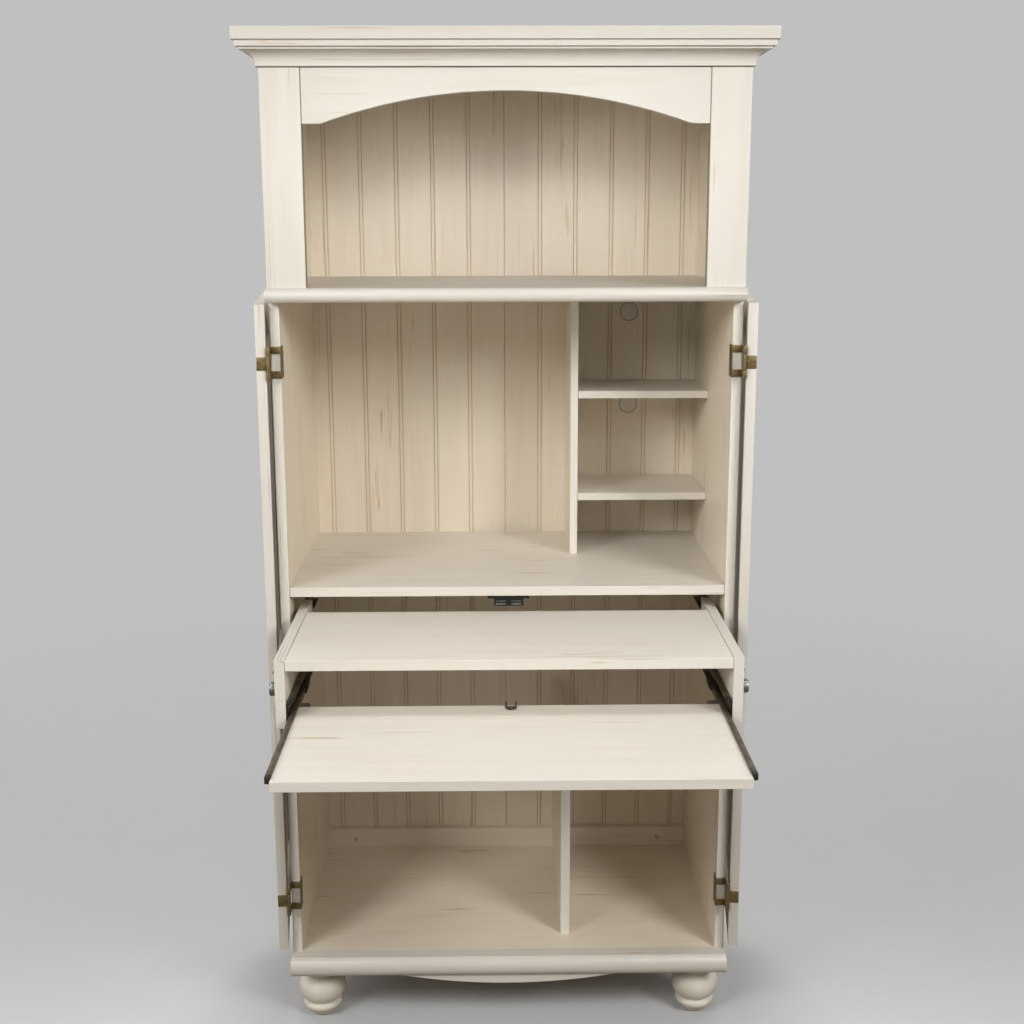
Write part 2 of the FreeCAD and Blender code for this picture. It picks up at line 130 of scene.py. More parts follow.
# %% [markdown]
# ## Antique white boards
#
# The boards carry a cream finish that has been rubbed to look old. Close up it shows a
# faint wood grain, soft bands that run the same way, a few tan streaks where the finish
# is rubbed through, thin brown hairlines, and now and then a speck. Brown glaze stays in
# the joints between boards. A picture of wood could give all this, but a pattern made
# from noise has no seams and works at any size, so each part is noise on Object
# coordinates, drawn out along the grain. Every piece sits at the origin, so no two
# boards show the same part of the pattern. One finish is made for each grain direction.
# Some boards take a lighter or darker copy of the cream: painted light on the shelves, the
# front edges and the feet, and painted shade on the cornice, the slabs, the arched rail and
# the inner boards.

# %% Colours of the boards
cream = (0.72, 0.682, 0.610, 1)
# Painted light: the desktop and shelves take a lighter, cooler cream than the rest, for the
# stronger light that falls on their tops.
lit_shelf_cream = (0.755, 0.710, 0.632, 1)
# Painted shade: the boards inside take a warmer, more saturated cream than the fronts, for the
# brown of the shade in the deep compartments.
shaded_inner_cream = (0.805, 0.720, 0.590, 1)
# Painted light: the front edges of the sides and dividers take a paler, cooler cream, for the
# light that falls on them against the shade inside.
lit_edge_cream = (0.770, 0.735, 0.660, 1)
# Painted light: the turned feet take a lighter cream, for the light they get too little of low
# at the front.
lit_foot_cream = (0.795, 0.745, 0.640, 1)
rubbed_tan = (0.56, 0.40, 0.23, 1)
hairline_brown = (0.34, 0.24, 0.14, 1)
# Brown of the glaze in the joints between boards, and of the painted shade in the scored
# outlet rings.
joint_glaze_and_ring_shade = (0.17, 0.115, 0.065, 1)

# %% Patterns that follow the grain
def grain_place(tree, turn):
    """Object coordinates, turned about Z for a board that stands at an angle."""
    place = add_node(tree, "TexCoord").outputs["Object"]
    mapping = {"Vector": place, "Rotation": (0, 0, turn)}
    return add_node(tree, "Mapping", mapping).outputs[0]

def drawn_out(tree, place, along, length):
    """Stretch a pattern so that one unit across is so many units along the grain."""
    scale = [1.0, 1.0, 1.0]
    scale["XYZ".index(along)] = 1.0 / length
    return add_node(tree, "Mapping", {"Vector": place, "Scale": scale}).outputs[0]

def noise(tree, place, scale, detail=2.0, distortion=0.0):
    node = add_node(tree, "TexNoise", {"Vector": place, "Scale": scale, "Detail": detail,
                                       "Distortion": distortion})
    return node.outputs["Fac"]

def times(tree, first, second):
    return math_node(tree, "MULTIPLY", first, second)

def darker(colour, share):
    return tuple(value * share for value in colour[:3]) + (1,)

# %% Wear of the finish
def grain_colours(tree, place, along, base):
    """Faint grain and soft bands; returns the colour and the fine grain."""
    fine = noise(tree, drawn_out(tree, place, along, 34), 420.0, 3.0, 0.3)
    band = noise(tree, drawn_out(tree, place, along, 16), 46.0, 2.0, 0.5)
    cloud = noise(tree, place, 3.2, 1.0)
    colour = blend_colours(tree, soft_mask(tree, band, 0.40, 0.72), base,
                           (base[0] * 0.965, base[1] * 0.948, base[2] * 0.915, 1))
    lines = times(tree, soft_mask(tree, fine, 0.48, 0.70), 0.42)
    colour = blend_colours(tree, lines, colour,
                           (base[0] * 0.92, base[1] * 0.89, base[2] * 0.83, 1))
    clouds = times(tree, soft_mask(tree, cloud, 0.46, 0.64), 0.35)
    colour = blend_colours(tree, clouds, colour, darker(base, 0.965))
    return colour, fine

def rubbed_streaks(tree, place, along):
    """Sparse streaks, about two millimetres wide and a finger long."""
    core = noise(tree, drawn_out(tree, place, along, 26), 170.0, 2.0, 0.6)
    where = noise(tree, drawn_out(tree, place, along, 4), 16.0, 1.0)
    return times(tree, soft_mask(tree, core, 0.58, 0.68), soft_mask(tree, where, 0.62, 0.68))

def hairlines(tree, place, along):
    """Brown lines thinner than a millimetre that wander along the board."""
    line = noise(tree, drawn_out(tree, place, along, 80), 240.0, 1.0, 0.3)
    where = noise(tree, drawn_out(tree, place, along, 7), 12.0, 1.0)
    return times(tree, soft_mask(tree, line, 0.67, 0.73), soft_mask(tree, where, 0.57, 0.66))

def specks(tree, place):
    cells = add_node(tree, "TexVoronoi", {"Vector": place, "Scale": 14.0})
    spot = math_node(tree, "LESS_THAN", cells.outputs["Distance"], 0.014)
    return times(tree, spot, math_node(tree, "GREATER_THAN", cells.outputs["Color"], 0.60))

def glaze_in_joints(tree, colour, joints):
    """Brown glaze along flat joints, each given as axis, distance from 0 and half width."""
    place = add_node(tree, "TexCoord").outputs["Object"]
    parts = add_node(tree, "SeparateXYZ", {"Vector": place})
    for axis, distance, half in joints:
        away = math_node(tree, "ABSOLUTE", parts.outputs[axis])
        gap = math_node(tree, "ABSOLUTE", math_node(tree, "SUBTRACT", away, distance))
        mask = math_node(tree, "SUBTRACT", 1.0, soft_mask(tree, gap, half * 0.5, half))
        colour = blend_colours(tree, times(tree, mask, 0.8), colour, joint_glaze_and_ring_shade)
    return colour

# %% Board finish
# Depth of the band of painted light along the front edges.
lit_edge_depth = 0.0011

def worn_colours(tree, along, turn, base, marks=1.0):
    place = grain_place(tree, turn)
    colour, fine = grain_colours(tree, place, along, base)
    for mask, strength, mark in ((rubbed_streaks(tree, place, along), 0.75, rubbed_tan),
                                 (hairlines(tree, place, along), 0.60, hairline_brown),
                                 (specks(tree, place), 0.75, hairline_brown)):
        colour = blend_colours(tree, times(tree, mask, strength * marks), colour, mark)
    return colour, fine

def painted_board(name, along, turn=0.0, base=cream, joints=(), marks=1.0, edge=None):
    """A board's finish; edge is the Y of a front edge that carries a band of painted light."""
    material, tree, shader = start_finish(name)
    colour, fine = worn_colours(tree, along, turn, base, marks)
    colour = glaze_in_joints(tree, colour, joints)
    # Painted light: a paler, cooler cream along the front edge.
    if edge is not None:
        place = add_node(tree, "TexCoord").outputs["Object"]
        depth = add_node(tree, "SeparateXYZ", {"Vector": place}).outputs["Y"]
        band, _ = worn_colours(tree, along, turn, lit_edge_cream, marks)
        on_edge = math_node(tree, "LESS_THAN", depth, edge + lit_edge_depth)
        colour = blend_colours(tree, on_edge, colour, band)
    tree.links.new(colour, shader.inputs["Base Color"])
    rough = add_node(tree, "MapRange", {"Value": fine, "To Min": 0.36, "To Max": 0.50})
    tree.links.new(rough.outputs[0], shader.inputs["Roughness"])
    bump(tree, shader, fine, 0.00012, 0.5)
    return material

under_cove = ("Z", 1.857, 0.0016)
stile_edge = ("X", 0.360, 0.0014)
pull_out_sides_joint = ("X", 0.3838, 0.0014)
# The feet carry the lighter cream of painted light.
turning = painted_board("cream paint on turned wood", "Z", base=lit_foot_cream, marks=0.7)
# The desktop, the small shelves and the keyboard shelf carry the lighter cream of painted
# light.
grain_x = painted_board("cream board, grain across", "X", base=lit_shelf_cream, marks=1.25)
grain_y = painted_board("cream board, grain front to back", "Y")
grain_z = painted_board("cream board, grain upright", "Z")
# The inner boards carry the warmer cream of painted shade.
inner_x = painted_board("inner cream board, grain across", "X", base=shaded_inner_cream)
inner_z = painted_board("inner cream board, grain upright", "Z", base=shaded_inner_cream)
# Painted shade: the cornice, the slabs, the arched rail and the cove take a copy of the cream
# five per cent darker, for less light on these fronts.
shaded_cream = darker(cream, 0.95)
crown_boards = painted_board("cornice boards, grain across", "X", base=shaded_cream)
arch_finish = painted_board("arched rail", "X", base=shaded_cream,
                            joints=(under_cove, stile_edge))
stile_finish = painted_board("hutch stiles", "Z", joints=(under_cove, stile_edge))
cove_finish = painted_board("cove moulding", "X", base=shaded_cream, joints=(under_cove,))
shelf_ends = painted_board("pull-out shelf", "X", base=lit_shelf_cream, marks=1.25,
                           joints=(pull_out_sides_joint,))
print("board finishes:", len(bpy.data.materials))

# %% [markdown]
# ## Beaded backs
#
# The back is thin board with a bead every three inches: a narrow raised strip between
# two grooves. Glaze gathers in grooves, so they are tan rather than cream. The groove
# lines repeat across X, so a triangle wave of X with the pitch of the beads gives the
# distance to the nearest bead, and a mask at 3.6 mm from it colours both grooves. The
# two panels meet on the middle line in one plain groove, so the beads skip it. Two wire
# outlets are scored in the right panel, and their rings are painted dark brown, as
# painted shade in the scored grooves. The rear faces stand against a wall: they are
# left as bare brown fibreboard, with no beads or glaze.

# %% Beaded finish
bead_pitch = 0.0762
groove_offset = 0.0036
outlet_heights = (1.399, 1.198)
outlet_x = 3.54 * bead_pitch
outlet_ring = 0.0191
rear_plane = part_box("back_panel_left")[1][1]
fibreboard = (0.40, 0.285, 0.175, 1)

def line_mask(tree, distance, half):
    """1 where a distance is near 0, falling off to 0 at the half width."""
    away = math_node(tree, "ABSOLUTE", distance)
    return math_node(tree, "SUBTRACT", 1.0, soft_mask(tree, away, half * 0.35, half))

def beaded_board(name):
    material, tree, shader = start_finish(name)
    colour, fine = worn_colours(tree, "Z", 0.0, shaded_inner_cream)
    place = add_node(tree, "TexCoord").outputs["Object"]
    parts = add_node(tree, "SeparateXYZ", {"Vector": place}).outputs
    across = parts["X"]
    to_bead = math_node(tree, "PINGPONG", across, bead_pitch / 2)
    groove = line_mask(tree, math_node(tree, "SUBTRACT", to_bead, groove_offset), 0.0014)
    past_seam = soft_mask(tree, math_node(tree, "ABSOLUTE", across), 0.010, 0.012)
    seam = line_mask(tree, across, 0.0013)
    glaze = math_node(tree, "MAXIMUM", times(tree, groove, past_seam), seam)
    colour = blend_colours(tree, times(tree, glaze, 0.55), colour, rubbed_tan)
    # Painted shade: a dark ring in the scored groove of each wire outlet.
    for height in outlet_heights:
        centred = add_node(tree, "Mapping", {"Vector": place,
                                             "Location": (-outlet_x, 0, -height),
                                             "Scale": (1, 0, 1)}).outputs[0]
        away = add_node(tree, "VectorMath", {0: centred}, operation="LENGTH").outputs[1]
        ring = line_mask(tree, math_node(tree, "SUBTRACT", away, outlet_ring), 0.0014)
        colour = blend_colours(tree, times(tree, ring, 0.7), colour, joint_glaze_and_ring_shade)
    rear = math_node(tree, "GREATER_THAN", parts["Y"], rear_plane - 0.0008)
    fibres = blend_colours(tree, noise(tree, place, 600.0, 3.0), fibreboard,
                           darker(fibreboard, 0.8))
    colour = blend_colours(tree, rear, colour, fibres)
    tree.links.new(colour, shader.inputs["Base Color"])
    rough = add_node(tree, "MapRange", {"Value": fine, "To Min": 0.34, "To Max": 0.46})
    tree.links.new(rough.outputs[0], shader.inputs["Roughness"])
    bump(tree, shader, fine, 0.00012, 0.4)
    return material

beaded = beaded_board("cream beaded board")
print("beads every", bead_pitch * 1000, "mm")

# %% [markdown]
# ## Metals and plastics
#
# The hinges are antique brass, a golden brown with dark mottles where the coating was
# left in the hollows. The slides have a dark bronze coat, the knobs are satin nickel, and
# the screws are zinc plated. One function mixes a light and a dark tone by noise and
# varies the roughness with the same noise, since worn and coated spots shine differently.

# %% Metal and plastic finishes
def metal(name, light, dark, roughness, metallic=1.0, scale=220.0, shine=0.5):
    material, tree, shader = start_finish(name)
    place = add_node(tree, "TexCoord").outputs["Object"]
    mottle = noise(tree, place, scale, 4.0, 0.3)
    colour = blend_colours(tree, soft_mask(tree, mottle, 0.4, 0.62), light, dark)
    tree.links.new(colour, shader.inputs["Base Color"])
    shader.inputs["Metallic"].default_value = metallic
    shader.inputs["Specular IOR Level"].default_value = shine
    rough = add_node(tree, "MapRange", {"Value": mottle, "To Min": roughness - 0.08,
                                        "To Max": roughness + 0.12})
    tree.links.new(rough.outputs[0], shader.inputs["Roughness"])
    bump(tree, shader, mottle, 0.0001, 0.4)
    return material

antique_brass = metal("antique brass", (0.28, 0.208, 0.092, 1), (0.115, 0.084, 0.041, 1),
                      0.42, 0.8, 380.0)
nickel = metal("satin nickel", (0.31, 0.31, 0.30, 1), (0.21, 0.21, 0.20, 1),
               0.30, 1.0, 90.0)
slide_bronze = metal("dark bronze coat", (0.130, 0.102, 0.071, 1), (0.080, 0.061, 0.042, 1),
                     0.42, 0.45, 60.0, shine=0.35)
catch_black = metal("black japanned box", (0.020, 0.019, 0.017, 1), (0.011, 0.011, 0.010, 1),
                    0.60, 0.0, 400.0, shine=0.15)
dull_steel = metal("dull steel bars", (0.20, 0.195, 0.17, 1), (0.10, 0.095, 0.085, 1),
                   0.5, 0.6)
zinc = metal("zinc plate", (0.55, 0.55, 0.52, 1), (0.40, 0.40, 0.38, 1), 0.35, 1.0, 300.0)
dark_steel = metal("blackened steel", (0.12, 0.10, 0.08, 1), (0.05, 0.042, 0.036, 1),
                   0.38, 0.7)
black_plastic = metal("black plastic", (0.020, 0.018, 0.016, 1), (0.012, 0.011, 0.010, 1),
                      0.5, 0.0, 500.0, shine=0.3)
print("metals and plastics made")

# %% [markdown]
# ## Dressing the CAD boards
#
# The boards already have the right shape, so they stay, and only get a finish. Real
# boards never have knife edges: a small round runs along each, and it draws a fine line
# of light or shade where two boards meet. A Weld modifier joins the loose triangles of a
# CAD mesh, and a Bevel modifier limited by angle then rounds only its true edges.

# %% Give the CAD boards their finish
def paint(material, *names):
    for name in names:
        mesh = nodes[name].data
        mesh.materials.clear()
        mesh.materials.append(material)

def ease_edges(width, *names):
    for name in names:
        weld = nodes[name].modifiers.new("weld", "WELD")
        weld.merge_threshold = 1e-5
        ease = nodes[name].modifiers.new("ease", "BEVEL")
        ease.width = width
        ease.segments = 2
        ease.limit_method = "ANGLE"
        ease.angle_limit = math.radians(35)

across_boards = ("desktop", "small_shelf_upper", "small_shelf_lower", "keyboard_shelf")
slabs = ("cornice_lower_slab", "cornice_top_slab", "waist_board", "base_front_moulding",
         "hutch_top_panel", "front_apron", "base_back_rail")
edged_boards = ("side_left", "side_right", "upper_divider", "lower_divider")
hutch_sides = ("hutch_side_left", "hutch_side_right")
hutch_stiles = ("hutch_stile_left", "hutch_stile_right")
door_panels = ("door_left_panels", "door_right_panels")
pull_out_sides = ("pull_out_side_left", "pull_out_side_right")
deep_trim = ("base_side_rails", "cornice_moulding_left", "cornice_moulding_right",
             "foot_blocks")
board_ease = 0.0009
paint(grain_x, *across_boards)
paint(crown_boards, *slabs)
paint(inner_x, "floor_panel", "rear_cleat")
paint(grain_y, *pull_out_sides, *deep_trim)
paint(inner_z, *hutch_sides, *door_panels)
# The sides and dividers carry a band of painted light along their front edges.
for name in edged_boards:
    paint(painted_board("inner cream board, " + name, "Z", base=shaded_inner_cream,
                        edge=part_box(name)[0][1]), name)
paint(arch_finish, "arched_rail")
paint(stile_finish, *hutch_stiles)
paint(cove_finish, "cornice_moulding_front")
paint(shelf_ends, "pull_out_shelf")
paint(beaded, "back_panel_left", "back_panel_right")
ease_edges(board_ease, *across_boards, *slabs, *edged_boards, *hutch_sides, *hutch_stiles,
           *pull_out_sides, "arched_rail", "pull_out_shelf", "rear_cleat")
print("dressed", sum(1 for node in nodes.values() if node.data.materials), "nodes")

# %% [markdown]
# ## Helpers for small shapes
#
# Every small part below is one of three kinds. A bar is a block with rounded edges. A
# turned part is an outline spun about an axis, as on a lathe. A rolled part is a flat
# outline pulled out into a long section, as sheet steel comes from its rollers. One
# helper makes each kind with bmesh operators, and lengths are given in millimetres.
# Fore and aft distances are counted from the front edges of the cabinet's sides.

# %% Units and places
mm = 0.001
sides_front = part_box("side_left")[0][1] / mm
inner_half = 414.5

def at(x, y, z):
    """Millimetres, with y from the front edges of the sides, to the frame's metres."""
    return Vector((x * mm, (y + sides_front) * mm, z * mm))

print("front edges of the sides at y =", round(sides_front, 2), "mm")

# %% Bars
def bar(shape, low, high, ease=0.0, steps=2):
    """A block between two corners, its edges rounded by ease."""
    a, b = at(*low), at(*high)
    size = b - a
    place = Matrix.Translation((a + b) / 2) @ Matrix.Diagonal((*size, 1))
    made = bmesh.ops.create_cube(shape, size=1.0, matrix=place)
    if ease:
        edges = {edge for vert in made["verts"] for edge in vert.link_edges}
        bmesh.ops.bevel(shape, geom=list(edges), offset=ease * mm, segments=steps,
                        profile=0.5, affect="EDGES", material=-1, clamp_overlap=True)

# %% Turned parts
def arc(start, middle, end, count=8):
    """Points along the circle through three points, from the first to the last."""
    (ax, ay), (bx, by), (cx, cy) = start, middle, end
    twice = 2 * (ax * (by - cy) + bx * (cy - ay) + cx * (ay - by))
    a, b, c = ax * ax + ay * ay, bx * bx + by * by, cx * cx + cy * cy
    x = (a * (by - cy) + b * (cy - ay) + c * (ay - by)) / twice
    y = (a * (cx - bx) + b * (ax - cx) + c * (bx - ax)) / twice
    first = math.atan2(ay - y, ax - x)
    to_middle = (math.atan2(by - y, bx - x) - first) % math.tau
    sweep = (math.atan2(cy - y, cx - x) - first) % math.tau
    if to_middle > sweep:
        sweep -= math.tau
    radius = math.hypot(ax - x, ay - y)
    turns = [first + sweep * step / count for step in range(count + 1)]
    return [(x + radius * math.cos(t), y + radius * math.sin(t)) for t in turns]

def turned(outline, steps=48):
    """Spin (radius, height) points about the upright axis through the origin."""
    shape = bmesh.new()
    verts = [shape.verts.new((radius * mm, 0, height * mm)) for radius, height in outline]
    edges = [shape.edges.new(pair) for pair in zip(verts, verts[1:])]
    bmesh.ops.spin(shape, geom=verts + edges, cent=(0, 0, 0), axis=(0, 0, 1),
                   angle=math.tau, steps=steps, use_merge=True)
    bmesh.ops.remove_doubles(shape, verts=shape.verts, dist=1e-6)
    bmesh.ops.recalc_face_normals(shape, faces=shape.faces)
    return shape

# %% Rolled parts
def rolled(outline, y0, y1, ease=0.3):
    """Pull a closed outline of (x, z) points along Y and round its long edges."""
    shape = bmesh.new()
    face = shape.faces.new([shape.verts.new(at(x, y0, z)) for x, z in outline])
    made = bmesh.ops.extrude_face_region(shape, geom=[face])
    far = [item for item in made["geom"] if isinstance(item, bmesh.types.BMVert)]
    bmesh.ops.translate(shape, verts=far, vec=(0, (y1 - y0) * mm, 0))
    long_edges = [edge for edge in shape.edges
                  if abs(edge.verts[0].co.y - edge.verts[1].co.y) > 1e-5]
    bmesh.ops.bevel(shape, geom=long_edges, offset=ease * mm, segments=2, profile=0.5,
                    affect="EDGES", material=-1, clamp_overlap=True)
    bmesh.ops.recalc_face_normals(shape, faces=shape.faces)
    return shape

# %% Copies and finishing
def add_copy(shape, part, place=Matrix()):
    """Add a copy of another bmesh, moved by a matrix."""
    loose = bpy.data.meshes.new("loose")
    part.to_mesh(loose)
    loose.transform(place)
    shape.from_mesh(loose)
    bpy.data.meshes.remove(loose)

def on_both_sides(shape):
    """Mirror what is there across the middle of the cabinet, and keep both."""
    add_copy(shape, shape.copy(), Matrix.Diagonal((-1, 1, 1, 1)))

def finish_piece(name, shape, finish, body, replaced=(), sharp=35):
    """Turn a bmesh into a shaded piece that rides on its body."""
    bmesh.ops.recalc_face_normals(shape, faces=shape.faces)
    mesh = bpy.data.meshes.new(name)
    shape.to_mesh(mesh)
    shape.free()
    mesh.materials.append(finish)
    mesh.shade_smooth()
    mesh.set_sharp_from_angle(angle=math.radians(sharp))
    piece = bpy.data.objects.new(name, mesh)
    bpy.context.scene.collection.objects.link(piece)
    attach(piece, body)
    if replaced:
        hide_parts(*replaced)
    print(name, "-", len(mesh.polygons), "faces")
    return piece

# %% [markdown]
# ## Turned feet
#
# A bun foot comes off the lathe as one block: a small foot, a bead like a ring, a fat
# ball and a straight neck. In Blender such a shape could be stacked from spheres, but the
# seams between them would show, so its half outline is drawn with arcs and spun in one
# go. The four feet are the same, and each sits where the CAD foot sits. A nylon glide
# under each keeps the wood off the floor.

# %% Feet
foot_outline = (
    [(0, 1.5), (20.5, 1.5)] + arc((22, 2.6), (26.6, 6.5), (28, 14), 6)
    + [(28.4, 14.3)] + arc((33.4, 14.7), (39, 23), (34.8, 31.1), 14)
    + [(33.2, 31.4)] + arc((32.8, 32), (47.5, 62), (32.4, 89.6), 30)
    + [(33.6, 90.4)] + arc((34.4, 91), (36.7, 93.2), (37.5, 96.5), 6)
    + [(37.5, 119.0), (36.9, 119.8), (0, 119.8)])
glide_outline = [(0, 0), (16.5, 0), (17.8, 0.5), (18, 1.5), (0, 1.5)]
glides = bmesh.new()
glide = turned(glide_outline, 32)
for name in ("foot_front_left", "foot_front_right", "foot_rear_left", "foot_rear_right"):
    low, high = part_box(name)
    place = Matrix.Translation(((low[0] + high[0]) / 2, (low[1] + high[1]) / 2, 0))
    foot = bmesh.new()
    add_copy(foot, turned(foot_outline, 72), place)
    finish_piece("turned_" + name, foot, turning, "cabinet", (name,), 30)
    add_copy(glides, glide, place)
finish_piece("foot_glides", glides, black_plastic, "cabinet")

# %% [markdown]
# ## Doors
#
# A framed door is two upright stiles with three rails between them, and the grain of each
# board runs along its own length. The CAD frame is one node, so it could carry only one
# direction of grain. Here the boards are made again as two pieces, each with the right
# grain. They are laid out as the closed left door, then a matrix swings them round the
# hinge to where the open door stands. The right door is the mirror image.

# %% Door boards
hinge_pin = (-433.5, -24)
door_pivot = at(*hinge_pin, 0)
door_swing = math.radians(-263)
opened = (Matrix.Translation(door_pivot) @ Matrix.Rotation(door_swing, 4, "Z")
          @ Matrix.Translation(-door_pivot))
other_side = Matrix.Diagonal((-1, 1, 1, 1))
door_bottom, door_top = 174, 1447
door_stiles = [(-430.5, -362.5), (-69.5, -1.5)]
door_rails = [(door_bottom, 242), (666, 734), (1379, door_top)]

def hang(shape, side):
    """Swing a closed left door part open, and mirror it for the right door."""
    place = opened if side == "left" else other_side @ opened
    bmesh.ops.transform(shape, matrix=place, verts=shape.verts)
    return shape

def turned_grain(side):
    turn = -door_swing if side == "left" else door_swing
    name = "grain along the rails of the %s door" % side
    return painted_board(name, "X", turn, shaded_inner_cream)

for side in ("left", "right"):
    frame_node = "door_%s_frame" % side
    stiles = bmesh.new()
    for x0, x1 in door_stiles:
        bar(stiles, (x0, -20, door_bottom), (x1, -2, door_top), 1.2)
    finish_piece("door_%s_stiles" % side, hang(stiles, side), grain_z, "door_" + side,
                 (frame_node,))
    rails = bmesh.new()
    for z0, z1 in door_rails:
        bar(rails, (door_stiles[0][1], -19.7, z0), (door_stiles[1][0], -2.3, z1), 1.2)
    finish_piece("door_%s_rails" % side, hang(rails, side), turned_grain(side), "door_" + side,
                 (frame_node,))

# %% [markdown]
# ## Screws
#
# All screws here have a low round head with a cross recess. The recess is real: a disc is
# cut by eight planes into strips, and an inset pushes the strips of the cross inwards.
# The head is made once, facing up, and copied with a matrix to wherever a screw is. The
# screws of the hinges have the colour of the hinges, the two in the rear cleat are zinc.

# %% Screw head
def cross_head(radius, rise, recess=0.9):
    shape = bmesh.new()
    bmesh.ops.create_circle(shape, cap_ends=True, segments=28, radius=radius * mm)
    arm, half = 0.62 * radius * mm, 0.15 * radius * mm
    for normal in (Vector((1, 0, 0)), Vector((0, 1, 0))):
        for offset in (-arm, -half, half, arm):
            everything = shape.verts[:] + shape.edges[:] + shape.faces[:]
            bmesh.ops.bisect_plane(shape, geom=everything, plane_co=normal * offset,
                                   plane_no=normal, dist=1e-7)
    rim = [edge for edge in shape.edges if edge.is_boundary]
    skirt = bmesh.ops.extrude_edge_only(shape, edges=rim)
    lower = [item for item in skirt["geom"] if isinstance(item, bmesh.types.BMVert)]
    bmesh.ops.translate(shape, verts=lower, vec=(0, 0, -rise * mm))
    bmesh.ops.scale(shape, verts=lower, vec=(1.16, 1.16, 1))
    cross = []
    for face in shape.faces:
        middle = face.calc_center_median()
        across, along = sorted((abs(middle.x), abs(middle.y)))
        if middle.z > -1e-5 and across < half and along < arm:
            cross.append(face)
    bmesh.ops.inset_region(shape, faces=cross, thickness=0.03 * radius * mm,
                           depth=-recess * mm, use_even_offset=True)
    bmesh.ops.translate(shape, verts=shape.verts, vec=(0, 0, rise * mm))
    return shape

facing_front = Matrix.Rotation(math.radians(90), 4, "X")
facing_rear = Matrix.Rotation(math.radians(-90), 4, "X")
facing_down = Matrix.Rotation(math.radians(180), 4, "X")
facing_up = Matrix()
facing_right = Matrix.Rotation(math.radians(90), 4, "Y")
facing_left = Matrix.Rotation(math.radians(-90), 4, "Y")
small_head = cross_head(2.9, 1.0, 0.6)
pan_head = cross_head(4.3, 1.6, 1.0)
print("screw heads with", len(small_head.faces), "faces each")

def put(shape, part, place, facing):
    """Copy a part to a place given in millimetres, turned to face one way."""
    add_copy(shape, part, Matrix.Translation(at(*place)) @ facing)

# %% Screws in the cabinet
hinge_heights = (281, 1340)
hinge_screws = bmesh.new()
for hinge_z in hinge_heights:
    for offset in (-22.5, 22.5):
        put(hinge_screws, small_head, (-422.5, -1.6, hinge_z + offset), facing_front)
on_both_sides(hinge_screws)
finish_piece("hinge_cross_screws", hinge_screws, antique_brass, "cabinet",
             ("cabinet_screws",))
cleat_screws = bmesh.new()
put(cleat_screws, pan_head, (-351.5, 465, 181), facing_front)
on_both_sides(cleat_screws)
finish_piece("cleat_cross_screws", cleat_screws, zinc, "cabinet", ("cabinet_screws",))

# %% [markdown]
# ## Hinges
#
# Each hinge wraps round the front edge of the cabinet's side. Its cabinet leaf is a plate
# with a window: a flange on the inner face, a strip above and one below the window, and
# the knuckles that hold the pin. The door leaf carries the middle knuckle and covers the
# edge of the door. The leaves are bars with eased edges, and the knuckles are turned with
# a small gap between them, so that the joint reads as a joint.

# %% Hinge parts
def knuckle(z0, z1):
    """A short tube on the hinge pin with rounded ends."""
    outline = [(0, z0), (3.3, z0), (3.9, z0 + 0.5), (4, z0 + 1), (4, z1 - 1), (3.9, z1 - 0.5),
               (3.3, z1), (0, z1)]
    return turned(outline, 24)

def put_on_pin(shape, part, z):
    put(shape, part, (*hinge_pin, z), facing_up)

leaf_half, window_half = 29.5, 15.5
strips = ((-leaf_half, -window_half), (window_half, leaf_half))
cabinet_leaves = bmesh.new()
for z in hinge_heights:
    bar(cabinet_leaves, (-inner_half, -1.7, z - leaf_half), (-412.9, 25, z + leaf_half), 0.45)
    for low, high in strips:
        bar(cabinet_leaves, (-432.3, -1.7, z + low), (-413.2, -0.05, z + high), 0.45)
        bar(cabinet_leaves, (-432.3, -22.5, z + low), (-430.7, -0.4, z + high), 0.45)
        put_on_pin(cabinet_leaves, knuckle(low, high), z)
        put(cabinet_leaves, small_head, (-412.95, 13, z + (low + high) / 2), facing_right)
    finial = turned([(0, 29), (2.4, 29.2), (3.0, 30), (2.6, 31), (1.2, 31.6), (0, 31.7)], 20)
    put_on_pin(cabinet_leaves, finial, z)
    put(cabinet_leaves, finial, (*hinge_pin, z), facing_down)
on_both_sides(cabinet_leaves)
finish_piece("hinge_cabinet_leaves", cabinet_leaves, antique_brass, "cabinet",
             ("hinge_frames",))

for side in ("left", "right"):
    leaves = bmesh.new()
    for z in hinge_heights:
        bar(leaves, (-432.1, -23, z - 12), (-430.5, -2.4, z + 12), 0.45)
        put_on_pin(leaves, knuckle(-15.2, 15.2), z)
        put(leaves, small_head, (-431.9, -8.5, z), facing_left)
    finish_piece("hinge_door_leaves_" + side, hang(leaves, side), antique_brass,
                 "door_" + side, ("door_%s_hinge_tabs" % side,))

# %% [markdown]
# ## Slides
#
# A telescopic slide is a set of rolled steel channels that run in each other. Their lips
# are curled over to hold the balls. A channel could be a thin box with a hollow, but the
# curled lips are what catches the light, so the outline of the section is drawn once and
# pulled out to its length. A curl is only as deep as the gap to the next member allows,
# or the members would cut each other when they slide. Small screws hold them.

# %% Channel outlines
def channel_outline(web, lips, z, half, sheet, curl, lower_curl=None):
    """Section of a C channel: web on one side, two lips with curled ends."""
    step = sheet if lips > web else -sheet
    lower = curl if lower_curl is None else lower_curl
    bottom = [(web, z - half), (lips, z - half)]
    if lower:
        bottom += [(lips, z - half + sheet + lower), (lips - step, z - half + sheet + lower),
                   (lips - step, z - half + sheet)]
    else:
        bottom += [(lips, z - half + sheet)]
    return bottom + [(web + step, z - half + sheet), (web + step, z + half - sheet),
                     (lips - step, z + half - sheet), (lips - step, z + half - sheet - curl),
                     (lips, z + half - sheet - curl), (lips, z + half), (web, z + half)]

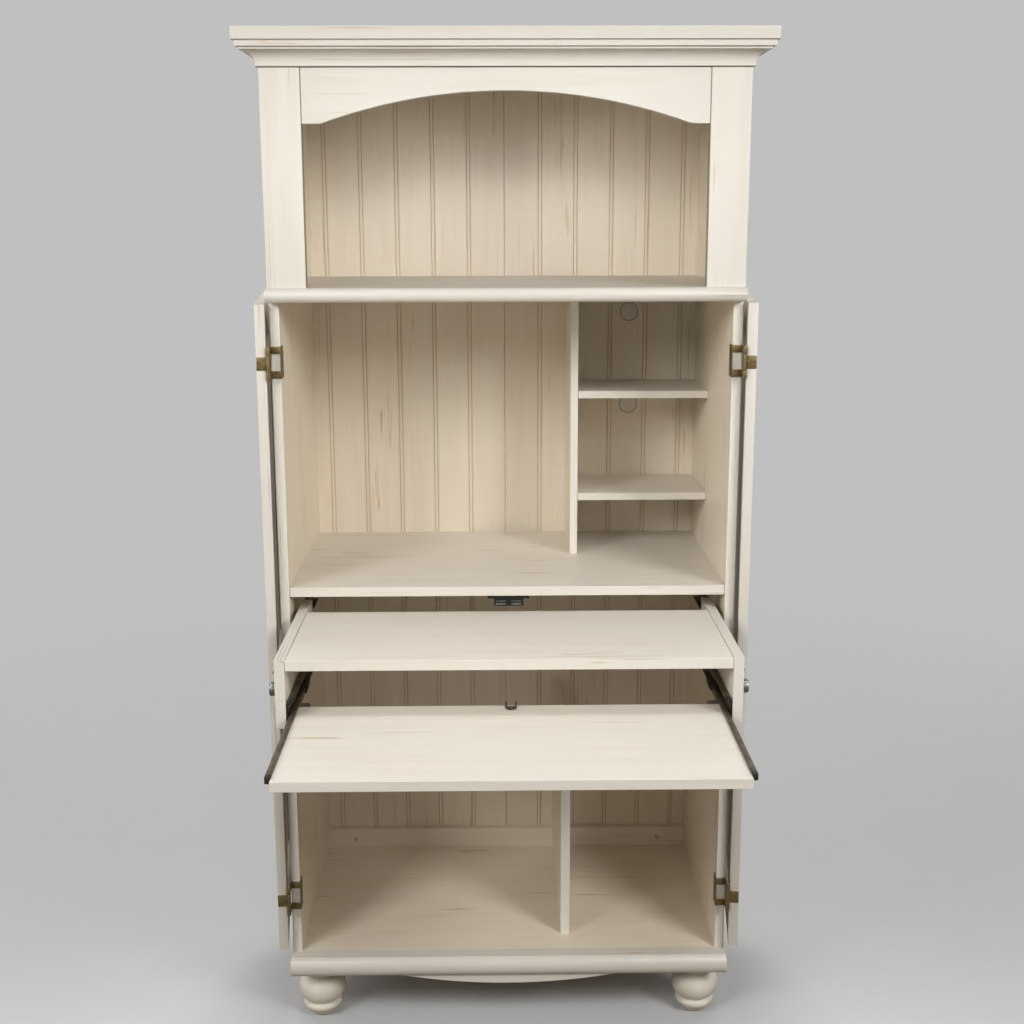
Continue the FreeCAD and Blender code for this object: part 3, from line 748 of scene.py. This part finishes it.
def slide_pair(name, outline, y0, y1, body, screws_at=(), screw_x=0, facing=facing_right):
    pair = rolled(outline, y0, y1)
    for y in screws_at:
        put(pair, small_head, (screw_x, y, sum(z for _, z in outline) / len(outline)), facing)
    on_both_sides(pair)
    finish_piece("rolled_" + name, pair, slide_bronze, body, (name,))

# %% Desk slides
desk_slide_z = 815
pull_out_outer = -401.8
outer_section = channel_outline(-inner_half, -404.0, desk_slide_z, 18, 1.3, 0.35)
middle_section = channel_outline(-412.3, -403.5, desk_slide_z, 16.2, 1.2, 0.45)
inner_section = channel_outline(pull_out_outer, -410.5, desk_slide_z, 14.4, 1.2, 2)
slide_pair("desk_slide_outer_members", outer_section, 44, 344, "cabinet",
           (60, 180, 330), -413.2)
slide_pair("desk_slide_middle_members", middle_section, -103, 197, "desk_slide_middles")
slide_pair("desk_slide_inner_members", inner_section, -250, 16, "pull_out",
           (-235, -150), -403.0, facing_left)

# %% [markdown]
# ## Keyboard slides
#
# The keyboard shelf hangs from two channels on the insides of the pull-out. A long rail
# on each edge of the shelf runs in its channel and goes on behind the shelf, so that the
# shelf stays level when it is drawn right out. Black plastic closes the ends: a nose on
# the channel, a cap on the rail, and a release lever on the rail behind the shelf.

# %% Keyboard channels and rails
wall = -383.8
keyboard_slide_z = 767
channel_front = -272
slide_pair("keyboard_slide_outer_members",
           channel_outline(wall, wall + 10.5, keyboard_slide_z, 18.5, 1.3, 3, 0),
           channel_front, 16, "pull_out", (-255, -130, 0), wall + 1.3)
rail_bottom, rail_top = 750, 762
rail_front, rail_rear = -540, -86
rail_lips, rail_web = wall + 4.2, wall + 12.7
rail_curl, rail_sheet = 3, 1.3
inside_lips, inside_web = wall + 5.5, wall + 11.4
rails = rolled([(rail_lips, rail_bottom), (rail_web, rail_bottom), (rail_web, rail_top),
                (rail_lips, rail_top), (rail_lips, rail_top - rail_curl),
                (inside_lips, rail_top - rail_curl), (inside_lips, rail_top - rail_sheet),
                (inside_web, rail_top - rail_sheet), (inside_web, rail_bottom + rail_sheet),
                (inside_lips, rail_bottom + rail_sheet),
                (inside_lips, rail_bottom + rail_curl),
                (rail_lips, rail_bottom + rail_curl)], rail_front, rail_rear, 0.5)
bar(rails, (wall + 11.7, -224, 753), (wall + 31.7, -204, 755), 0.4)
bar(rails, (wall + 11.7, -224, 754.8), (wall + 31.7, -222, 763.5), 0.4)
put(rails, small_head, (wall + 22, -213, 755), facing_up)
on_both_sides(rails)
finish_piece("rolled_keyboard_rails", rails, slide_bronze, "keyboard_tray",
             ("keyboard_slide_rails",))

# %% Plastic ends of the keyboard slides
noses = rolled(channel_outline(wall, wall + 10.5, keyboard_slide_z, 19, 1.7, 3, 0),
               -286, channel_front, 0.5)
bar(noses, (wall, -288, 782), (wall + 8.5, -274, 787.5), 1.6, 3)
on_both_sides(noses)
finish_piece("slide_noses", noses, black_plastic, "pull_out",
             ("keyboard_slide_noses",))

caps = bmesh.new()
bar(caps, (wall + 4.0, -552, rail_bottom), (wall + 12.9, -539.5, 762.2), 1.6, 3)
bar(caps, (wall + 5.8, -540, 752), (wall + 11, -532, 760), 0.5)
on_both_sides(caps)
finish_piece("rail_caps", caps, black_plastic, "keyboard_tray",
             ("keyboard_slide_caps",))

levers = bmesh.new()
bar(levers, (wall + 12.6, -138, 751), (wall + 15.1, rail_rear, 764), 1.1, 3)
for rib_front in (-132, -128, -124, -120):
    bar(levers, (wall + 14.6, rib_front, 753), (wall + 15.9, rib_front + 1.6, 762), 0.4)
on_both_sides(levers)
finish_piece("release_levers", levers, black_plastic, "keyboard_tray",
             ("keyboard_slide_stops",))

# %% [markdown]
# ## Knobs, pins and strikes
#
# Knobs and pins are lathe work, so each is an outline and a spin. The two low knobs on
# the pull-out have a straight side with a fine groove and a shallow crown. The door knobs
# have a waisted neck. A strike is the thin steel plate that the catch pulls at.

# %% Knobs
side_knob = turned([(0, 0), (11.2, 0), (12.2, 0.8), (12.2, 3.2), (11.7, 3.7), (11.7, 4.4),
                    (12.2, 4.9), (12.2, 8.6)] + arc((12.2, 8.8), (11.5, 10.7), (9.4, 11.5), 6)
                   + [(5, 11.75), (0, 11.8)], 48)
side_knobs = bmesh.new()
put(side_knobs, side_knob, (pull_out_outer, -266, 805), facing_left)
on_both_sides(side_knobs)
finish_piece("pull_out_side_knobs", side_knobs, nickel, "pull_out",
             ("pull_out_knobs",))

door_knob = turned([(0, 0), (9.6, 0), (10, 0.8), (9, 1.8)] + arc((8, 2.2), (6.2, 5), (7, 9), 6)
                   + arc((7, 9), (14, 15), (11, 22), 12) + arc((11, 22), (8, 24), (4, 24.7), 5)
                   + [(0, 24.8)], 40)
for side in ("left", "right"):
    knob = bmesh.new()
    put(knob, door_knob, (-35.5, -20, 700), facing_front)
    finish_piece("door_knob_" + side, hang(knob, side), nickel, "door_" + side,
                 ("door_%s_knob" % side,))
    strike = bmesh.new()
    bar(strike, (-24, -2, 874), (-4, -1.2, 890), 0.3)
    put(strike, small_head, (-14, -1.3, 882), facing_rear)
    finish_piece("strike_plate_" + side, hang(strike, side), zinc, "door_" + side,
                 ("door_%s_strike" % side,))

# %% Shelf pins
shelf_tops = (1252, 1040)
shelf_thickness = 15
pin_outline = [(0, 0), (2.2, 0), (2.5, 0.4), (2.5, 8), (0, 8)]
pin = turned(pin_outline, 20)
collar = turned([(0, 0), (3.9, 0), (4.1, 0.3), (4.1, 1.1), (3.7, 1.4), (0, 1.4)], 20)
divider_face = 147.5
pins = bmesh.new()
for shelf_top in shelf_tops:
    pin_z = shelf_top - shelf_thickness - 2.6
    for y in (302, 440):
        for x, facing in ((divider_face, facing_right), (inner_half, facing_left)):
            put(pins, pin, (x, y, pin_z), facing)
            put(pins, collar, (x, y, pin_z - 1.5), facing)
finish_piece("shelf_support_pins", pins, zinc, "cabinet", ("shelf_pins",))

# %% [markdown]
# ## Catch and clip
#
# The double catch holds both doors: a black plate screwed under the desktop, and below it
# a box with two magnets behind steel bars. On the rear edge of the keyboard shelf lies a
# U-shaped clip of flat steel. Its bend is a half turn, so the section is spun by 180
# degrees and its two ends are then pulled back straight to make the prongs.

# %% Double catch
catch = bmesh.new()
bar(catch, (-38.5, 4, 888.6), (41.5, 26, 894), 0.9)
bar(catch, (-26, 4.6, 874), (30, 24, 889), 1.0, 3)
for x in (-33, 36):
    put(catch, small_head, (x, 15, 888.6), facing_down)
finish_piece("catch_body", catch, catch_black, "cabinet", ("double_catch",))
magnets = bmesh.new()
for x in (-13.5, 16.5):
    bar(magnets, (x - 9.5, 3.9, 876.2), (x + 9.5, 6, 879.4), 0.5)
    bar(magnets, (x - 9.5, 4.3, 882.6), (x + 9.5, 6, 884.4), 0.3)
finish_piece("catch_magnet_bars", magnets, dull_steel, "cabinet")

# %% Spring clip
def flat_clip(x, front, rear, z, width, thick, rise):
    shape = bmesh.new()
    outer, bend = x + width / 2, front + width / 2
    corners = [(outer - thick, z), (outer, z), (outer, z + rise), (outer - thick, z + rise)]
    section = shape.faces.new([shape.verts.new(at(cx, bend, cz)) for cx, cz in corners])
    bent = bmesh.ops.spin(shape, geom=[section], cent=at(x, bend, z), axis=(0, 0, 1),
                          angle=-math.pi, steps=20)
    last = [item for item in bent["geom_last"] if isinstance(item, bmesh.types.BMFace)]
    for end in (section, last[0]):
        pulled = bmesh.ops.extrude_face_region(shape, geom=[end])
        verts = [item for item in pulled["geom"] if isinstance(item, bmesh.types.BMVert)]
        bmesh.ops.translate(shape, verts=verts, vec=(0, (rear - bend) * mm, 0))
    bmesh.ops.recalc_face_normals(shape, faces=shape.faces)
    return shape

clip_x, clip_front, keyboard_top = 3, -249, 757
clip = flat_clip(clip_x, clip_front, -217, keyboard_top, 20, 3, 4)
washer = turned([(0, 0), (8.6, 0), (9, 0.4), (9, 0.9), (8.4, 1.3), (0, 1.3)], 32)
put(clip, washer, (clip_x, clip_front + 10, keyboard_top), facing_up)
finish_piece("flat_steel_clip", clip, dark_steel, "keyboard_tray",
             ("spring_clip",))
clip_screw = bmesh.new()
put(clip_screw, pan_head, (clip_x, clip_front + 10, keyboard_top + 1.3), facing_up)
finish_piece("clip_screw", clip_screw, zinc, "keyboard_tray")

# %% [markdown]
# ## Wire outlets
#
# Two round outlets in the right back panel can be pressed out to let a wire through. The
# CAD panel has their scored rings. A thin painted disc stands just proud inside each
# ring, as on the real board, where the disc is held only by a few bridges.

# %% Outlet discs
disc = turned([(0, -1.5), (18.1, -1.5)] + arc((18.1, 0.1), (17.9, 0.55), (17.3, 0.8), 4)
              + [(0, 0.8)], 56)
back_front = 480
discs = bmesh.new()
for height in outlet_heights:
    put(discs, disc, (outlet_x / mm, back_front, height / mm), facing_front)
finish_piece("outlet_discs", discs, grain_z, "cabinet")

# %% [markdown]
# ## Floor
#
# The armoire stands on a pale studio floor. A cube could serve, but a wide disc has no
# edge near the object and its rim lies too far off to be seen. Near the armoire the floor
# is a true surface, so that it takes the shadow of the cabinet and of the feet. Farther
# off it fades, for the camera only, into the even grey of the backdrop, and so no line
# shows where the two meet.

# %% Floor
backdrop_level = 0.525
backdrop_grey = (backdrop_level,) * 3 + (1,)
floor_seen = (0.60, 0.60, 0.602, 1)
floor_felt = (0.25, 0.22, 0.18, 1)

def make_floor():
    shape = bmesh.new()
    bmesh.ops.create_circle(shape, cap_ends=True, segments=96, radius=30.0)
    mesh = bpy.data.meshes.new("floor")
    shape.to_mesh(mesh)
    shape.free()
    floor = bpy.data.objects.new("floor", mesh)
    bpy.context.scene.collection.objects.link(floor)
    return floor

def seen_directly(tree):
    """1 for rays from the camera, also by way of a mirror or glass, 0 for others."""
    paths = add_node(tree, "LightPath").outputs
    through = math_node(tree, "MAXIMUM", paths["Is Glossy Ray"], paths["Is Transmission Ray"])
    return math_node(tree, "MAXIMUM", paths["Is Camera Ray"], through)

def floor_finish():
    material, tree, shader = start_finish("pale studio floor")
    place = add_node(tree, "TexCoord").outputs["Object"]
    speckle = noise(tree, place, 6.0, 3.0)
    pale = blend_colours(tree, speckle, darker(floor_seen, 0.98), darker(floor_seen, 1.02))
    camera_ray = add_node(tree, "LightPath").outputs["Is Camera Ray"]
    colour = blend_colours(tree, camera_ray, floor_felt, pale)
    tree.links.new(colour, shader.inputs["Base Color"])
    shader.inputs["Roughness"].default_value = 0.75
    away = add_node(tree, "VectorMath", {0: place}, operation="LENGTH").outputs[1]
    far = times(tree, soft_mask(tree, away, 1.2, 3.6), seen_directly(tree))
    grey = add_node(tree, "Emission", {"Color": backdrop_grey, "Strength": 1.0})
    mix = add_node(tree, "MixShader", {0: far})
    tree.links.new(shader.outputs[0], mix.inputs[1])
    tree.links.new(grey.outputs[0], mix.inputs[2])
    tree.links.new(mix.outputs[0], tree.nodes["Material Output"].inputs["Surface"])
    return material

floor = make_floor()
floor.data.materials.append(floor_finish())
print("floor of", len(floor.data.polygons), "face")

# %% [markdown]
# ## Backdrop
#
# Behind the armoire there is nothing but the world. The camera sees it as one pale grey,
# and the boards feel only a weak share of it: a bright world would light the inside from
# all sides and wash out the shade under the shelves.

# %% World
world = bpy.data.worlds.new("studio")
bpy.context.scene.world = world
world.use_nodes = True
sky = world.node_tree
sky.nodes.clear()
ambient = add_node(sky, "Background", {"Color": (0.97, 0.985, 1.0, 1), "Strength": 0.02})
backdrop = add_node(sky, "Background", {"Color": backdrop_grey, "Strength": 1.0})
choice = add_node(sky, "MixShader", {0: seen_directly(sky)})
sky.links.new(ambient.outputs[0], choice.inputs[1])
sky.links.new(backdrop.outputs[0], choice.inputs[2])
end = add_node(sky, "OutputWorld")
sky.links.new(choice.outputs[0], end.inputs["Surface"])
print("backdrop grey", backdrop_level)

# %% [markdown]
# ## Lamps
#
# The light is that of a studio. Two large soft boxes stand in front, left and right, and
# the right one is a little stronger. A weak one at the side models the turned feet, and
# one far in front softens the shade of the shelves. The deep compartments get little of
# that light. A stronger front light would reach them, but it would bleach the stiles, so
# small boxes with a narrow spread aim past the front: one down on the drawn-out shelves,
# one over the desktop, and four into the hutch, two of them crosswise from the sides. A
# box high behind the armoire throws its shadow forwards on the floor, and two more light
# its back. All are kept low enough that the cream of the front stays a colour.

# %% Lamps
def soft_box(name, place, target, width, height, power, spread=180):
    lamp = bpy.data.lights.new(name, "AREA")
    lamp.shape = "RECTANGLE"
    lamp.size = width
    lamp.size_y = height
    lamp.energy = power
    lamp.spread = math.radians(spread)
    holder = bpy.data.objects.new(name, lamp)
    holder.location = place
    holder.rotation_mode = "QUATERNION"
    holder.rotation_quaternion = (Vector(target) - Vector(place)).to_track_quat("-Z", "Y")
    bpy.context.scene.collection.objects.link(holder)
    return holder

soft_box("left", (-2.2, -2.4, 2.6), (0, 0, 1.0), 1.2, 1.2, 64)
soft_box("right", (2.2, -2.4, 2.6), (0, 0, 1.0), 1.2, 1.2, 78)
soft_box("side", (-3.2, -0.9, 1.8), (0, 0, 1.0), 1.2, 1.6, 15)
soft_box("front", (0, -4.2, 2.8), (0, 0.2, 1.0), 1.4, 0.8, 10)
soft_box("shelves", (0, -0.62, 2.7), (0, -0.42, 0.8), 1.3, 0.5, 1.25, 34)
soft_box("desk", (0, -1.1, 2.0), (0, 0.30, 1.04), 0.9, 0.1, 0.12, 26)
soft_box("hutch", (0, -1.0, 1.63), (0, 0.48, 1.64), 0.5, 0.1, 0.055, 16)
soft_box("hutch left", (-1.0, -0.9, 1.64), (0.2, 0.48, 1.63), 0.3, 0.3, 0.085, 16)
soft_box("hutch right", (1.0, -0.9, 1.64), (-0.2, 0.48, 1.63), 0.3, 0.3, 0.075, 16)
soft_box("under arch", (0, -0.7, 2.0), (0, 0.4, 1.55), 0.7, 0.1, 0.13, 40)
soft_box("high rear", (0, 3.0, 4.0), (0, 0, 0.5), 1.8, 1.0, 80)
soft_box("rear left", (-2.4, 3.0, 2.2), (0, 0.4, 1.0), 1.4, 1.4, 24)
soft_box("rear right", (2.4, 3.0, 2.2), (0, 0.4, 1.0), 1.4, 1.4, 18)
print("lamps:", len(bpy.data.lights))
